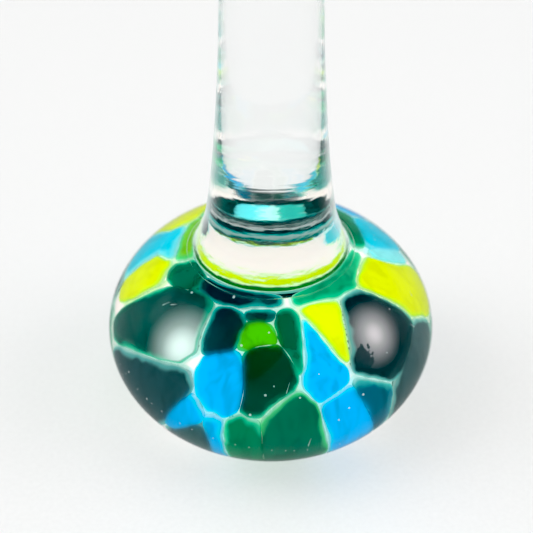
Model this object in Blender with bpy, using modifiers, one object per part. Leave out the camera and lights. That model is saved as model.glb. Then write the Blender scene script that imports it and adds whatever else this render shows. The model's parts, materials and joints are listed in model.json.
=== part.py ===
"""Hand blown art glass bud vase.

A squat clear base holds a layer of coloured glass shards. The shards lie on a clear core gather and
under a clear casing, which also covers the foot. A slender clear neck, solid low down and with a bore
higher up, stands on the base, its foot fused into a crease.
The glass stands on z = 0 with its axis on Z. Azimuth 0 is +X, and -90 (or 270) is the front.
"""

import math

import bmesh
import bpy
from mathutils import Vector

MM = 0.001

# The base is an ellipsoid of revolution, cut flat at z = 0 for the foot.
BASE_RADIUS = 39.0 * MM
BASE_HALF_HEIGHT = 26.6 * MM
BASE_CENTRE_Z = 22.0 * MM

# The layers of the base, as depths below its outer surface.
CASING_DEPTH = 2.6 * MM
BED_DEPTH = 4.0 * MM
SHARD_THICKNESS = 2.0 * MM
CORE_DEPTH = 7.4 * MM

# The crease is the ring where the foot of the neck meets the coloured base.
CREASE_RADIUS = 19.5 * MM
CREASE_Z = 44.8 * MM
WELD_GAP = 0.3 * MM

# The neck, as heights above the crease and outer radii from the crease up to the lip.
NECK_OUTLINE = (
    (0.0, 19.1),
    (0.9, 17.9),
    (4.5, 16.5),
    (9.5, 14.9),
    (19.5, 13.4),
    (32.0, 12.2),
    (50.0, 11.0),
    (75.0, 10.1),
    (105.0, 9.6),
    (130.0, 10.0),
    (147.0, 11.6),
    (157.0, 14.0),
)
WALL = 1.7 * MM
LIP_ARC_STEPS = 4

# The bore ends in a round floor. Below it the neck is solid, down to a plug in the core.
BORE_FLOOR_Z = 116.0 * MM
BORE_CORNER = 6.0 * MM
BORE_ARC_STEPS = 4
NECK_PLUG_Z = 34.8 * MM
NECK_PLUG_RADIUS = 13.4 * MM
NECK_PLUG_CORNER = 1.6 * MM
NECK_SHOULDER_RADIUS = 16.4 * MM
NECK_SHOULDER_Z = 43.5 * MM

# The foot is ground flat. The casing is thin there, and a few shards lie on its floor under the core.
FOOT_BEVEL = 0.5 * MM
FOOT_THICKNESS = 1.3 * MM
FOOT_FLOOR_RADIUS = 18.5 * MM
FOOT_BED_Z = 2.65 * MM
CORE_BOTTOM_Z = 4.0 * MM
CORE_BOTTOM_RADIUS = 16.5 * MM
LOWEST_LATITUDE = -50.0

ROUND_STEPS = 36
BASE_ARC_STEPS = 12
AXIS_MERGE = 0.01 * MM

GLASS_IOR = 1.5
GLASS_ROUGHNESS = 0.03

# A shard's outline is cast a little large, because softening draws it in.
SHARD_SWELL = 1.1
SHARD_SUBDIVISION = 1
SHARD_EDGE_CREASE = 0.7
SHARD_TRANSMISSION = 0.5

LIME = (0.62, 0.74, 0.01, 1.0)
CYAN = (0.05, 0.55, 0.75, 1.0)
BLUE = (0.0, 0.27, 0.85, 1.0)
EMERALD = (0.0, 0.24, 0.10, 1.0)
GREEN = (0.02, 0.36, 0.03, 1.0)
DARK_GREEN = (0.0, 0.07, 0.04, 1.0)
TEAL = (0.0, 0.12, 0.13, 1.0)
NAVY = (0.0, 0.03, 0.07, 1.0)
SLATE = (0.05, 0.08, 0.09, 1.0)
CHARCOAL = (0.03, 0.04, 0.05, 1.0)
CLEAR = (0.97, 0.99, 0.98, 1.0)

# Each shard's colour and outline. A corner is (azimuth, latitude) on the bed, in degrees.
SHARDS = {
    # Ring of slivers along the crease.
    "crest_shard_green_strip": (GREEN, ((143, 54), (143, 58), (165, 60), (187, 59), (188, 55), (165, 54))),
    "crest_shard_green_left": (
        DARK_GREEN,
        ((191, 51), (190, 57), (200, 60), (214, 59), (215, 54), (203, 51)),
    ),
    "crest_shard_navy_front": (
        NAVY,
        ((219, 57), (219, 60), (240, 61), (260, 61), (276, 60), (260, 58), (240, 57)),
    ),
    "crest_shard_green_right": (
        EMERALD,
        ((288, 59), (303, 61), (322, 61), (341, 61), (357, 58), (346, 56), (332, 55), (318, 55), (302, 58)),
    ),
    "crest_shard_teal_right": (
        EMERALD,
        ((8, 56), (20, 58), (38, 58), (53, 56), (52, 48), (36, 51), (18, 54)),
    ),
    "crest_shard_navy_back": (NAVY, ((58, 48), (58, 58), (78, 60), (99, 60), (99, 50), (78, 48))),
    "crest_shard_emerald_back": (
        EMERALD,
        ((104, 50), (104, 60), (121, 60), (138, 59), (138, 53), (121, 51)),
    ),
    # Upper shoulder.
    "shoulder_shard_lime_back": (LIME, ((150, 35), (137, 26), (124, 36), (127, 47), (139, 50), (149, 48))),
    "shoulder_shard_cyan_left": (CYAN, ((169, 22), (153, 25), (153, 43), (171, 44), (171, 33))),
    "shoulder_shard_cyan_small": (CYAN, ((153, 47), (166, 47), (178, 48), (180, 51), (166, 51), (153, 51))),
    "shoulder_shard_yellow_left": (
        LIME,
        ((178, 26), (176, 44), (183, 49), (191, 46), (190, 35), (187, 27)),
    ),
    "shoulder_shard_silver_teal": (
        DARK_GREEN,
        ((190, 10), (198, 27), (205, 46), (219, 52), (231, 52), (235, 39), (232, 28), (216, 20), (200, 10)),
    ),
    "shoulder_shard_navy_front": (NAVY, ((238, 52), (253, 54), (254, 43), (248, 37), (241, 37), (237, 42))),
    "shoulder_shard_navy_sliver": (NAVY, ((257, 55), (270, 55), (271, 53), (257, 53))),
    "shoulder_shard_green_window": (GREEN, ((257, 50), (270, 50), (272, 43), (264, 43), (256, 40))),
    "shoulder_shard_green_finger": (
        DARK_GREEN,
        ((273, 51), (277, 54), (285, 52), (285, 46), (283, 36), (282, 30), (280, 37), (276, 44)),
    ),
    "shoulder_shard_blue_teardrop": (
        BLUE,
        ((288, 50), (291, 47), (296, 36), (298, 25), (296, 19), (290, 16), (285, 18), (284, 28), (286, 40)),
    ),
    "shoulder_shard_lime_front": (
        LIME,
        ((289, 54), (300, 55), (313, 52), (308, 47), (305, 39), (301, 30), (298, 36), (294, 46)),
    ),
    "shoulder_shard_black_right": (
        CHARCOAL,
        (
            (312, 48), (319, 51), (328, 48), (335, 41), (340, 24),
            (331, 19), (321, 11), (312, 15), (305, 24), (308, 39),
        ),
    ),
    "shoulder_shard_lime_right": (
        LIME,
        (
            (332, 51), (341, 53), (351, 53), (357, 48), (360, 38),
            (369, 25), (367, 15), (357, 12), (346, 21), (341, 34),
        ),
    ),
    "shoulder_shard_pale_cyan": (CYAN, ((2, 49), (8, 47), (15, 34), (13, 30), (5, 38))),
    "shoulder_shard_cyan_right": (
        CYAN,
        ((37, 46), (37, 34), (28, 28), (20, 32), (11, 46), (13, 50), (24, 50)),
    ),
    "shoulder_shard_blue_back": (BLUE, ((44, 31), (43, 43), (57, 44), (74, 42), (75, 31), (58, 29))),
    "shoulder_shard_navy_back": (NAVY, ((79, 33), (79, 43), (88, 45), (97, 46), (97, 34), (88, 32))),
    "shoulder_shard_cyan_back": (CYAN, ((101, 31), (101, 46), (109, 45), (117, 43), (117, 31), (109, 30))),
    # Belly.
    "belly_shard_charcoal_left": (
        CHARCOAL,
        (
            (197, -2), (209, 12), (224, 17), (237, 19), (238, 12),
            (232, 0), (225, -17), (212, -29), (200, -20),
        ),
    ),
    "belly_shard_blue_left": (BLUE, ((230, -16), (235, 0), (240, 12), (245, 6), (243, -2), (236, -12))),
    "belly_shard_blue_round": (
        BLUE,
        (
            (250, 34), (255, 35), (258, 28), (259, 20), (257, 12),
            (253, 8), (248, 8), (244, 15), (243, 26), (246, 32),
        ),
    ),
    "belly_shard_blue_stripe": (BLUE, ((248, 4), (252, 4), (252, -20), (252, -37), (247, -37), (249, -20))),
    "belly_shard_deep_green": (
        DARK_GREEN,
        ((259, 36), (265, 40), (272, 40), (277, 35), (279, 27), (273, 19), (265, 11), (260, 10), (262, 22)),
    ),
    "belly_shard_teal_right": (
        TEAL,
        ((303, 15), (307, 15), (312, 10), (315, 4), (316, -8), (316, -22), (313, -22), (308, -4), (304, 8)),
    ),
    "belly_shard_slate_right": (
        SLATE,
        (
            (342, 19), (350, 9), (346, -3), (337, -15), (326, -24),
            (320, -18), (319, -3), (323, 6), (333, 15),
        ),
    ),
    "belly_shard_green_back_right": (
        DARK_GREEN,
        ((14, 8), (22, 22), (41, 25), (56, 19), (55, 3), (34, -3)),
    ),
    "belly_shard_navy_back": (NAVY, ((61, -6), (61, 23), (68, 26), (75, 25), (76, 8), (75, -8), (68, -10))),
    "belly_shard_cyan_back": (
        CYAN,
        ((104, -8), (103, 8), (104, 25), (111, 25), (118, 24), (118, -3), (111, -9)),
    ),
    "belly_shard_blue_back": (BLUE, ((121, 19), (129, 24), (137, 21), (138, 6), (130, -1), (121, 3))),
    "belly_shard_slate_back_left": (
        SLATE,
        ((142, 21), (156, 20), (170, 14), (172, 3), (158, -3), (142, 3)),
    ),
    # Lower ring, down to the clear glass around the foot.
    "lower_shard_slate_front_left": (
        SLATE,
        ((236, -16), (243, -6), (246, -8), (247, -22), (244, -36), (231, -34), (229, -22)),
    ),
    "lower_shard_emerald_front": (
        EMERALD,
        ((255, 4), (265, 5), (266, -20), (265, -42), (255, -42), (254, -20)),
    ),
    "lower_shard_green_front": (
        GREEN,
        (
            (269, 6), (275, 14), (281, 16), (284, 12), (286, 1),
            (288, -13), (290, -27), (287, -41), (270, -42), (269, -20),
        ),
    ),
    "lower_shard_blue_front_right": (
        BLUE,
        (
            (289, 9), (293, 12), (299, 13), (301, 9), (304, -5),
            (310, -24), (306, -40), (298, -39), (295, -22), (291, -4),
        ),
    ),
    "lower_shard_green_right": (
        DARK_GREEN,
        ((350, -4), (359, 3), (357, -24), (346, -34), (332, -30), (341, -18)),
    ),
    "lower_shard_teal_back_right": (TEAL, ((2, -4), (13, 3), (35, -8), (37, -28), (20, -34), (0, -26))),
    "lower_shard_charcoal_back": (
        CHARCOAL,
        ((41, -8), (50, -3), (59, -8), (60, -28), (51, -36), (41, -28)),
    ),
    "lower_shard_lime_back": (
        LIME,
        (
            (63, -14.5), (78, -14.5), (97, -14.5), (117, -15),
            (117, -18), (97, -17.5), (78, -17.5), (63, -17.5),
        ),
    ),
    "lower_shard_green_back": (
        GREEN,
        ((64, -22), (80, -22), (98, -22), (116, -23), (115, -33), (98, -35), (80, -35), (65, -33)),
    ),
    "lower_shard_slate_back": (
        SLATE,
        ((68, -39), (84, -39), (100, -39), (112, -38), (108, -45), (92, -47), (76, -46)),
    ),
    "lower_shard_navy_back_left": (
        NAVY,
        ((121, -10), (139, -6), (155, -8), (157, -28), (140, -36), (121, -28)),
    ),
    "lower_shard_emerald_left": (
        EMERALD,
        ((160, -8), (176, -1), (188, -4), (195, -22), (180, -34), (161, -28)),
    ),
}

# Shards under the core. A corner is (x, y) on the foot, in millimetres.
FOOT_SHARDS = {
    "foot_shard_teal_left": (TEAL, ((-14, -5), (-10, -11), (-3, -14), (-2, -6), (-6, 0), (-13, 0))),
    "foot_shard_cyan_front": (CYAN, ((0, -14), (7, -13), (9, -8), (4, -5), (0, -7))),
    "foot_shard_cyan_right": (CYAN, ((11, -9), (14, -2), (13, 5), (6, 6), (2, -1), (6, -4))),
    "foot_shard_emerald_back": (EMERALD, ((-11, 3), (-4, 2), (1, 4), (3, 11), (-4, 14), (-10, 10))),
}


def clear_scene():
    for old in list(bpy.data.objects):
        bpy.data.objects.remove(old, do_unlink=True)


def add_collection():
    collection = bpy.data.collections.new("art_glass_vase")
    bpy.context.scene.collection.children.link(collection)
    return collection


def glass_material(name, colour, transmission):
    material = bpy.data.materials.new(name)
    material.use_nodes = True
    shader = material.node_tree.nodes["Principled BSDF"]
    shader.inputs["Base Color"].default_value = colour
    shader.inputs["Roughness"].default_value = GLASS_ROUGHNESS
    shader.inputs["IOR"].default_value = GLASS_IOR
    shader.inputs["Transmission Weight"].default_value = transmission
    return material


def ellipsoid_point(depth, latitude):
    """(radius, height) on the base's ellipsoid, drawn in by a depth, at a latitude in degrees."""
    angle = math.radians(latitude)
    radius = (BASE_RADIUS - depth) * math.cos(angle)
    height = BASE_CENTRE_Z + (BASE_HALF_HEIGHT - depth) * math.sin(angle)
    return radius, height


def ellipsoid_latitude(depth, radius):
    """The upper latitude, in degrees, where the drawn in ellipsoid has this radius."""
    return math.degrees(math.acos(radius / (BASE_RADIUS - depth)))


def ellipsoid_arc(depth, from_latitude, to_latitude):
    turn = (to_latitude - from_latitude) / BASE_ARC_STEPS
    return [ellipsoid_point(depth, from_latitude + turn * step) for step in range(BASE_ARC_STEPS + 1)]


def arc(centre, radius, from_angle, to_angle, steps):
    points = []
    for step in range(steps + 1):
        angle = math.radians(from_angle + (to_angle - from_angle) * step / steps)
        points.append((centre[0] + radius * math.cos(angle), centre[1] + radius * math.sin(angle)))
    return points


def neck_outside():
    """(radius, height) down the outside of the neck, from under the lip to the crease."""
    return [(radius * MM, CREASE_Z + height * MM) for height, radius in reversed(NECK_OUTLINE)]


def bore_wall(outside):
    """(radius, height) up the bore, from its round floor to the lip."""
    lowest = BORE_FLOOR_Z + BORE_CORNER
    wall = [(radius - WALL, height) for radius, height in outside if height > lowest]
    wall.reverse()
    floor_radius = wall[0][0]
    floor = arc((floor_radius - BORE_CORNER, lowest), BORE_CORNER, -90.0, 0.0, BORE_ARC_STEPS)
    return floor + wall[1:]


def neck_profile():
    outside = neck_outside()
    bore = bore_wall(outside)
    lip_radius = (outside[0][0] - bore[-1][0]) / 2
    lip_centre = (outside[0][0] - lip_radius, outside[0][1])
    lip = arc(lip_centre, lip_radius, 180.0, 0.0, LIP_ARC_STEPS)
    plug_top = NECK_PLUG_Z + NECK_PLUG_CORNER
    under = [
        (NECK_SHOULDER_RADIUS, NECK_SHOULDER_Z),
        (NECK_SHOULDER_RADIUS - NECK_PLUG_CORNER, NECK_SHOULDER_Z - NECK_PLUG_CORNER),
        (NECK_PLUG_RADIUS, plug_top),
        (NECK_PLUG_RADIUS - NECK_PLUG_CORNER, NECK_PLUG_Z),
        (0.0, NECK_PLUG_Z),
    ]
    return [(0.0, BORE_FLOOR_Z)] + bore[:-1] + lip + outside[1:] + under


def casing_profile():
    """The casing from its floor over the foot, up its inner side and down its outer side to the foot."""
    outer_top = ellipsoid_latitude(0.0, CREASE_RADIUS + WELD_GAP)
    foot_latitude = math.degrees(math.asin(-(BASE_CENTRE_Z - FOOT_BEVEL) / BASE_HALF_HEIGHT))
    outer = ellipsoid_arc(0.0, outer_top, foot_latitude)
    foot_radius = ellipsoid_point(0.0, foot_latitude)[0] - FOOT_BEVEL
    inner_top = ellipsoid_latitude(CASING_DEPTH, NECK_SHOULDER_RADIUS + 2 * WELD_GAP)
    inner = ellipsoid_arc(CASING_DEPTH, LOWEST_LATITUDE, inner_top)
    floor = [(0.0, FOOT_THICKNESS), (FOOT_FLOOR_RADIUS, FOOT_THICKNESS)]
    return floor + inner + outer + [(foot_radius, 0.0), (0.0, 0.0)]


def core_profile():
    """The core from its top recess, over its round side, to the middle of its flat bottom."""
    plug_radius = NECK_PLUG_RADIUS + WELD_GAP
    plug_floor = NECK_PLUG_Z - WELD_GAP
    rim_radius = NECK_SHOULDER_RADIUS - NECK_PLUG_CORNER + 2 * WELD_GAP
    rim_latitude = ellipsoid_latitude(CORE_DEPTH, rim_radius)
    recess = [
        (0.0, plug_floor),
        (plug_radius - NECK_PLUG_CORNER, plug_floor),
        (plug_radius, plug_floor + NECK_PLUG_CORNER),
    ]
    side = ellipsoid_arc(CORE_DEPTH, rim_latitude, LOWEST_LATITUDE)
    return recess + side + [(CORE_BOTTOM_RADIUS, CORE_BOTTOM_Z), (0.0, CORE_BOTTOM_Z)]


def add_turned(name, profile, material, collection):
    """A turned piece: its outline at +X, from axis to axis, swept round Z by a Screw modifier."""
    mesh = bpy.data.meshes.new(name)
    points = [(radius, 0.0, height) for radius, height in profile]
    edges = [(index, index + 1) for index in range(len(points) - 1)]
    mesh.from_pydata(points, edges, [])
    piece = bpy.data.objects.new(name, mesh)
    collection.objects.link(piece)
    screw = piece.modifiers.new("Turn", "SCREW")
    screw.axis = "Z"
    screw.angle = math.tau
    screw.steps = ROUND_STEPS
    screw.render_steps = ROUND_STEPS
    screw.use_merge_vertices = True
    screw.merge_threshold = AXIS_MERGE
    screw.use_smooth_shade = True
    piece.data.materials.append(material)
    return piece


def bed_point(azimuth, latitude):
    """A point on the shard bed, the ellipsoid through the middle of the shard layer."""
    radius, height = ellipsoid_point(BED_DEPTH, latitude)
    turn = math.radians(azimuth)
    return Vector((radius * math.cos(turn), radius * math.sin(turn), height))


def foot_point(x, y):
    """A point on the flat bed between the core and the foot."""
    return Vector((x * MM, y * MM, FOOT_BED_Z))


def swollen(outline):
    """The outline and its middle, with each corner moved out from the middle by SHARD_SWELL."""
    middle = [sum(values) / len(outline) for values in zip(*outline)]
    corners = []
    for corner in outline:
        corners.append([centre + (value - centre) * SHARD_SWELL for value, centre in zip(corner, middle)])
    return corners, middle


def add_shard(name, outline, bed, material, collection):
    """A shard: a coarse fan on its bed, given its thickness and then softened."""
    corners, middle = swollen(outline)
    cage = bmesh.new()
    crown = cage.verts.new(bed(*middle))
    rim = [cage.verts.new(bed(*corner)) for corner in corners]
    for here, after in zip(rim, rim[1:] + rim[:1]):
        cage.faces.new((crown, here, after))
    cage.normal_update()
    outward = crown.co - Vector((0.0, 0.0, BASE_CENTRE_Z))
    if crown.normal.dot(outward) < 0:
        bmesh.ops.reverse_faces(cage, faces=cage.faces[:])
    mesh = bpy.data.meshes.new(name)
    cage.to_mesh(mesh)
    cage.free()
    shard = bpy.data.objects.new(name, mesh)
    collection.objects.link(shard)
    thicken = shard.modifiers.new("Thickness", "SOLIDIFY")
    thicken.thickness = SHARD_THICKNESS
    thicken.offset = 0.0
    thicken.edge_crease_inner = SHARD_EDGE_CREASE
    thicken.edge_crease_outer = SHARD_EDGE_CREASE
    soften = shard.modifiers.new("Soft edge", "SUBSURF")
    soften.levels = SHARD_SUBDIVISION
    soften.render_levels = SHARD_SUBDIVISION
    mesh.shade_smooth()
    shard.data.materials.append(material)
    return shard


def build():
    clear_scene()
    collection = add_collection()
    clear = glass_material("clear_glass", CLEAR, 1.0)
    add_turned("neck_tube", neck_profile(), clear, collection)
    add_turned("base_core", core_profile(), clear, collection)
    add_turned("base_casing", casing_profile(), clear, collection)
    for shards, bed in ((SHARDS, bed_point), (FOOT_SHARDS, foot_point)):
        for name, (colour, outline) in shards.items():
            material = glass_material(name + "_glass", colour, SHARD_TRANSMISSION)
            add_shard(name, outline, bed, material, collection)


build()
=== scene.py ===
import json
import math
from collections import namedtuple

import bmesh
import bpy
import numpy as np
from mathutils import Matrix, Vector, noise


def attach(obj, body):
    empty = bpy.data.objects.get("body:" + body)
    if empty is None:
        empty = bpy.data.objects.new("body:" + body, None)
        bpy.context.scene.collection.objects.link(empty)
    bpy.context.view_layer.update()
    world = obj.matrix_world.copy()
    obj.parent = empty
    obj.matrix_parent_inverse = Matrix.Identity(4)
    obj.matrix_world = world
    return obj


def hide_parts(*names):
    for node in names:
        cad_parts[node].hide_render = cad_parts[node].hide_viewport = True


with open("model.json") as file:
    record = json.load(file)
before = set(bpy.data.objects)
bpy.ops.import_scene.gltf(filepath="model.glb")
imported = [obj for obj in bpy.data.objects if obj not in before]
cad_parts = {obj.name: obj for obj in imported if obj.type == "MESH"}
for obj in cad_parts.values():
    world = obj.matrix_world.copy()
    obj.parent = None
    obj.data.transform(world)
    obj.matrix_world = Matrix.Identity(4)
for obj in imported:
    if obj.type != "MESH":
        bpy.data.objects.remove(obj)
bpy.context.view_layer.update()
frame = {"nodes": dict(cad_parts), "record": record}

MM = 0.001
BODY = "root"
CLEAR_NODES = ("neck_tube", "base_casing", "base_core")
COLOURED_NODES = sorted(name for name in frame["nodes"] if name not in CLEAR_NODES)
FOOT_NODES = [name for name in COLOURED_NODES if name.startswith("foot_shard")]
SHARD_NODES = [name for name in COLOURED_NODES if name not in FOOT_NODES]
SLOTS = {entry["node"]: entry["material_slot"] for entry in frame["record"]["subparts"]}

# Turned glass: steps round the axis, and parts between two points of the frame's outline.
TURN_STEPS = 160
CURVE_PARTS = 5

# Clear glass. The neck has a painted pale sheen, strongest where its surface is seen edge on, in
# place of the bright edges that clear glass shows there.
GLASS_IOR = 1.5
NECK_EDGE_SHEEN = 0.62
EDGE_SHEEN_COLOUR = (0.90, 0.94, 0.94)
EDGE_SHEEN_RANGE = (0.45, 0.95)

# Hot working leaves the foot of the neck slightly wavy, in waves drawn out round it.
WAVY_HEIGHTS = (52.0 * MM, 72.0 * MM)
WAVE_HEIGHT = 0.10 * MM
WAVE_SCALE = 190.0
WAVE_STRETCH = (1.0, 1.0, 2.6)
WAVY_ROUGHNESS = 0.05

# Under the core: a milky sheet with a faint painted glow on the casing's floor, and a dark ring where
# the shard layer closes.
SHEET_RADIUS = 13.6 * MM
SHEET_HEIGHTS = (0.08 * MM, 0.20 * MM)
RING_DEPTH = 0.6 * MM
RING_LATITUDES = (-57.0, -50.5)
FOOT_TINT = (0.42, 0.86, 0.80)
PALE_FOOT_TINT = (0.80, 0.93, 0.90)

# Shards: how far each spreads from its CAD outline, and the vein it leaves to the next. Those round
# the back melted out further.
SHARD_THICKNESS = 2.2 * MM
SHARD_CLEARANCE = 0.3 * MM
SHARD_SPREAD = 1.7 * MM
BACK_SPREAD = 3.5 * MM
BACK_AZIMUTHS = (97.0, 200.0)
TIGHT_SPREADS = {"belly_shard_navy_back": -0.3 * MM, "lower_shard_lime_back": 0.6 * MM}
VEIN_WIDTH = 0.26 * MM
FUSED_GAP = 0.05 * MM

# Where fused shards meet, their colours melt together over a width, along a line that wanders.
BLEND_WIDTH = 0.55 * MM
BLEND_WANDER = 0.8 * MM

# A shard's edge: softened corners, a rounded rim and a slight wobble.
CORNER_SOFTNESS = 1.1 * MM
EDGE_ROUNDING = 1.5 * MM
ROUNDED_SHARE = 0.9
SMALLEST_ROOM = 0.4 * MM
EDGE_WOBBLE = 0.22 * MM
WOBBLE_LENGTH = 2.4 * MM

# A shard's mesh, in spokes and rings about its middle. A spoke is searched outwards in small steps,
# as shares of the shard's size, on a map of the bed with a grid in degrees.
SHARD_SPOKES = 120
SHARD_RINGS = 12
LONGEST_REACH = 4.0
REACH_STEP = 0.02
MAP_STEP = 1.0
MAP_LOW, MAP_HIGH = -56.0, 66.0

# Shards that ran together in the fire: no vein parts them, and their colours melt into each other.
FUSED_GROUPS = (
    ("shoulder_shard_navy_front", "shoulder_shard_navy_sliver", "shoulder_shard_green_window",
     "shoulder_shard_green_finger", "belly_shard_blue_round", "belly_shard_deep_green"),
    ("belly_shard_charcoal_left", "belly_shard_blue_left", "lower_shard_slate_front_left",
     "belly_shard_blue_stripe"),
    ("lower_shard_blue_front_right", "belly_shard_teal_right"),
    ("lower_shard_emerald_front", "lower_shard_green_front"),
    ("shoulder_shard_black_right", "belly_shard_slate_right"),
    ("shoulder_shard_silver_teal", "crest_shard_green_left", "crest_shard_navy_front"),
    ("shoulder_shard_pale_cyan", "shoulder_shard_cyan_right", "crest_shard_teal_right"),
    ("crest_shard_navy_back", "shoulder_shard_navy_back"),
    ("shoulder_shard_cyan_left", "shoulder_shard_cyan_small"),
)

# A veil of milky glass shows in the gaps between the shards. It reaches a little way under them, and
# takes some of their colour where the gap is narrow.
VEIL_BEHIND = 0.15 * MM
VEIL_THICKNESS = 0.25 * MM
VEIL_FADE = 0.3 * MM
VEIL_MARGIN = 0.8 * MM
# A faint painted glow (emission) in the milky glass.
PAINTED_MILK_GLOW = 0.13
WIDE_GAP = 0.7 * MM
NARROW_GAP = 0.1 * MM
VEIN_TINT = 0.35
VEIL_LATITUDES = (-50.0, 62.0)
VEIL_WHITES = ((0.98, 0.87, 0.87), (1.0, 0.90, 0.89))

# The camera looks down on the vase from the front, as the photographer did.
CAMERA_DISTANCE = 270 * MM
CAMERA_ELEVATION = 38.2
CAMERA_TARGET = Vector((-1.0 * MM, 0.0, 38.6 * MM))
LENS = 77.7
SENSOR = 36.0
F_STOP = 16.0


# ---------------------------------------------------------------- outlines from the frame

def welded(node):
    """The CAD node's mesh with its doubled corners joined."""
    work = bmesh.new()
    work.from_mesh(frame["nodes"][node].data)
    bmesh.ops.remove_doubles(work, verts=work.verts, dist=0.005 * MM)
    return work


def chain(links, start):
    path = [start]
    seen = {start}
    while True:
        ahead = [v for v in links[path[-1]] if v not in seen]
        if not ahead:
            return path
        step = max(ahead, key=lambda v: v.co.x) if len(path) == 1 else ahead[0]
        path.append(step)
        seen.add(step)


def meridian(node):
    """(radius, height) along a turned CAD node's outline, in order, read where the node crosses +X."""
    work = welded(node)
    line = {v for v in work.verts if abs(v.co.y) < 0.002 * MM and v.co.x > -0.002 * MM}
    links = {v: [e.other_vert(v) for e in v.link_edges if e.other_vert(v) in line] for v in line}
    ends = [v for v in line if len(links[v]) == 1]
    start = max(ends or line, key=lambda v: v.co.z)
    points = [(v.co.x, v.co.z) for v in chain(links, start)]
    work.free()
    return points


def smooth_line(points, parts):
    """Catmull-Rom points through the given ones."""
    guarded = [points[0], *points, points[-1]]
    curve = []
    for a, b, c, d in zip(guarded, guarded[1:], guarded[2:], guarded[3:]):
        for part in range(parts):
            t = part / parts
            curve.append(tuple(
                0.5 * (2 * q + (r - p) * t + (2 * p - 5 * q + 4 * r - s) * t * t
                       + (3 * q - p - 3 * r + s) * t ** 3)
                for p, q, r, s in zip(a, b, c, d)))
    return curve + [points[-1]]


def fitted_ellipsoid(points):
    """(radius, half height, centre height) of the ellipsoid turned through (radius, height) points."""
    rows = np.array([(1.0, z, z * z) for _, z in points])
    squares = np.array([r * r for r, _ in points])
    alpha, beta, gamma = np.linalg.lstsq(rows, squares, rcond=None)[0]
    centre = -beta / (2 * gamma)
    radius = math.sqrt(alpha - gamma * centre * centre)
    return radius, radius / math.sqrt(-gamma), centre


def casing_outline():
    """The casing's outline: its floor, its inner side up to the crease, its outer side and its foot."""
    path = meridian("base_casing")
    top = max(range(len(path)), key=lambda i: path[i][1])
    return path[:2], path[2:top], path[top:-2], path[-2:]


FLOOR, INNER, OUTER, FOOT = casing_outline()
BASE_RADIUS, BASE_HALF, BASE_CENTRE = fitted_ellipsoid(OUTER)
CASING_DEPTH = BASE_RADIUS - fitted_ellipsoid(INNER)[0]
BED_DEPTH = CASING_DEPTH + SHARD_CLEARANCE + SHARD_THICKNESS / 2
VEIL_DEPTH = BED_DEPTH + SHARD_THICKNESS / 2 + VEIL_BEHIND


def base_point(azimuth, latitude, depth):
    """A point at a depth under the base's surface. Angles in degrees; azimuth 0 is +X."""
    turn, rise = math.radians(azimuth), math.radians(latitude)
    radius = (BASE_RADIUS - depth) * math.cos(rise)
    height = BASE_CENTRE + (BASE_HALF - depth) * math.sin(rise)
    return Vector((radius * math.cos(turn), radius * math.sin(turn), height))


def base_angles(point):
    """(azimuth, latitude) of a point on the shard bed."""
    across = math.hypot(point.x, point.y) / (BASE_RADIUS - BED_DEPTH)
    up = (point.z - BASE_CENTRE) / (BASE_HALF - BED_DEPTH)
    return math.degrees(math.atan2(point.y, point.x)), math.degrees(math.atan2(up, across))


# ---------------------------------------------------------------- where each shard spreads to

def rim_angles(node):
    """The shard's outline as (azimuth, latitude), where its outer face turns into its inner face."""
    work = welded(node)
    work.normal_update()
    links = {}
    for edge in work.edges:
        faces = edge.link_faces
        if len(faces) != 2 or faces_out(faces[0]) == faces_out(faces[1]):
            continue
        first, second = edge.verts
        links.setdefault(first, []).append(second)
        links.setdefault(second, []).append(first)
    loops = []
    left = set(links)
    while left:
        loop = chain(links, min(left, key=lambda v: tuple(v.co)))
        loops.append([base_angles(v.co) for v in loop])
        left -= set(loop)
    work.free()
    return max(loops, key=len)


def faces_out(face):
    centre = face.calc_center_median()
    rise = (centre.z - BASE_CENTRE) / BASE_HALF ** 2
    lean = Vector((centre.x / BASE_RADIUS ** 2, centre.y / BASE_RADIUS ** 2, rise))
    return face.normal.dot(lean) > 0


def unwrapped(azimuths, middle):
    return (np.asarray(azimuths) - middle + 180.0) % 360.0 - 180.0 + middle


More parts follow.
